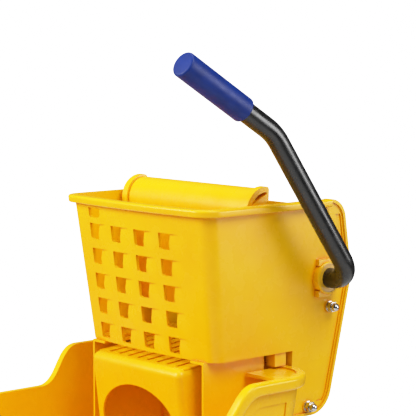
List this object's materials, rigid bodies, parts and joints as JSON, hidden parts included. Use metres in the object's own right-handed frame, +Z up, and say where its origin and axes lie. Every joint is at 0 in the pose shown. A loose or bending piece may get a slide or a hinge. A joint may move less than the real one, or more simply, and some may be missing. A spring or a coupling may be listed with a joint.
{
  "type": "mop bucket with side-press wringer",
  "caption": "Wheeled plastic mop bucket with a lift-off side-press wringer: a bent lever drives a parallel press plate against a perforated front wall.",
  "frame": {"origin": "on the floor under the middle of the whole object's box", "axes": "+Z up; +X along the bucket from its open front to the wringer; the lever is on the -Y side"},
  "size_m": [0.5927, 0.3818, 0.798],
  "materials": {
    "yellow_plastic": "smooth satin-gloss moulded polypropylene, warm yellow",
    "black_paint": "gloss black powder coat on bent steel tube",
    "blue_grip": "soft matt blue moulded grip",
    "bright_steel": "bright nickel-plated steel",
    "zinc_steel": "zinc-plated steel",
    "nylon": "self-coloured amber nylon",
    "black_plastic": "black nylon",
    "grey_plastic": "mid grey moulded polypropylene",
    "grey_rubber": "non-marking grey rubber"
  },
  "bodies": {
    "bucket": {"bucket_tub": "yellow_plastic", "caster_socket_front_near": "black_plastic", "caster_socket_front_far": "black_plastic", "caster_socket_rear_near": "black_plastic", "caster_socket_rear_far": "black_plastic"},
    "wringer": {"wringer_basket": "yellow_plastic", "back_cover": "yellow_plastic", "cover_bolts": "bright_steel", "cover_washers": "bright_steel", "cover_dome_nuts": "bright_steel", "drain_base": "yellow_plastic", "drain_grille": "yellow_plastic", "shaft_bush_near": "nylon", "shaft_bush_far": "nylon", "lower_axle": "zinc_steel", "axle_clips": "zinc_steel"},
    "handle": {"handle_tube": "black_paint", "handle_grip": "blue_grip", "shaft_cap": "black_plastic", "shaft_collar": "zinc_steel", "upper_crank_near": "zinc_steel", "upper_crank_far": "zinc_steel", "crank_bolts": "bright_steel", "upper_crank_pins": "zinc_steel", "upper_pin_clips": "zinc_steel"},
    "press_plate": {"press_plate": "yellow_plastic"},
    "lower_crank": {"lower_crank_near": "zinc_steel", "lower_crank_far": "zinc_steel", "lower_crank_spacer": "zinc_steel", "lower_crank_pins": "zinc_steel", "lower_pin_clips": "zinc_steel"},
    "caster_front_near_swivel": {"caster_stem_front_near": "zinc_steel", "caster_fork_front_near": "zinc_steel", "caster_axle_front_near": "zinc_steel"},
    "caster_front_near_wheel": {"caster_wheel_front_near": "grey_plastic", "caster_tyre_front_near": "grey_rubber"},
    "caster_front_far_swivel": {"caster_stem_front_far": "zinc_steel", "caster_fork_front_far": "zinc_steel", "caster_axle_front_far": "zinc_steel"},
    "caster_front_far_wheel": {"caster_wheel_front_far": "grey_plastic", "caster_tyre_front_far": "grey_rubber"},
    "caster_rear_near_swivel": {"caster_stem_rear_near": "zinc_steel", "caster_fork_rear_near": "zinc_steel", "caster_axle_rear_near": "zinc_steel"},
    "caster_rear_near_wheel": {"caster_wheel_rear_near": "grey_plastic", "caster_tyre_rear_near": "grey_rubber"},
    "caster_rear_far_swivel": {"caster_stem_rear_far": "zinc_steel", "caster_fork_rear_far": "zinc_steel", "caster_axle_rear_far": "zinc_steel"},
    "caster_rear_far_wheel": {"caster_wheel_rear_far": "grey_plastic", "caster_tyre_rear_far": "grey_rubber"}
  },
  "joints": [
    {"name": "wringer_lift", "type": "slide", "parent": "bucket", "child": "wringer", "axis": [0, 0, 1], "range_m": [0, 0.28]},
    {"name": "handle_press", "type": "hinge", "parent": "wringer", "child": "handle", "pos_m": [0.254, 0.00615, 0.51], "axis": [0, -1, 0], "range_deg": [-34, 42]},
    {"name": "plate_pivot", "type": "hinge", "parent": "handle", "child": "press_plate", "pos_m": [0.23899, 0.00615, 0.56602], "axis": [0, -1, 0], "range_deg": [-42, 34]},
    {"name": "lower_crank_pivot", "type": "hinge", "parent": "wringer", "child": "lower_crank", "pos_m": [0.246, 0.00615, 0.412], "axis": [0, -1, 0], "range_deg": [-34, 42]},
    {"name": "caster_front_near_swivel", "type": "hinge", "parent": "bucket", "child": "caster_front_near_swivel", "pos_m": [-0.22, -0.10585, 0.06], "axis": [0, 0, 1], "continuous": true},
    {"name": "caster_front_near_roll", "type": "hinge", "parent": "caster_front_near_swivel", "child": "caster_front_near_wheel", "pos_m": [-0.198, -0.10585, 0.0375], "axis": [0, 1, 0], "continuous": true},
    {"name": "caster_front_far_swivel", "type": "hinge", "parent": "bucket", "child": "caster_front_far_swivel", "pos_m": [-0.22, 0.11815, 0.06], "axis": [0, 0, 1], "continuous": true},
    {"name": "caster_front_far_roll", "type": "hinge", "parent": "caster_front_far_swivel", "child": "caster_front_far_wheel", "pos_m": [-0.198, 0.11815, 0.0375], "axis": [0, 1, 0], "continuous": true},
    {"name": "caster_rear_near_swivel", "type": "hinge", "parent": "bucket", "child": "caster_rear_near_swivel", "pos_m": [0.13, -0.10585, 0.06], "axis": [0, 0, 1], "continuous": true},
    {"name": "caster_rear_near_roll", "type": "hinge", "parent": "caster_rear_near_swivel", "child": "caster_rear_near_wheel", "pos_m": [0.152, -0.10585, 0.0375], "axis": [0, 1, 0], "continuous": true},
    {"name": "caster_rear_far_swivel", "type": "hinge", "parent": "bucket", "child": "caster_rear_far_swivel", "pos_m": [0.13, 0.11815, 0.06], "axis": [0, 0, 1], "continuous": true},
    {"name": "caster_rear_far_roll", "type": "hinge", "parent": "caster_rear_far_swivel", "child": "caster_rear_far_wheel", "pos_m": [0.152, 0.11815, 0.0375], "axis": [0, 1, 0], "continuous": true}
  ],
  "couplings": [
    {"joint": "plate_pivot", "follows": "handle_press", "ratio": -1},
    {"joint": "lower_crank_pivot", "follows": "handle_press", "ratio": 1}
  ]
}
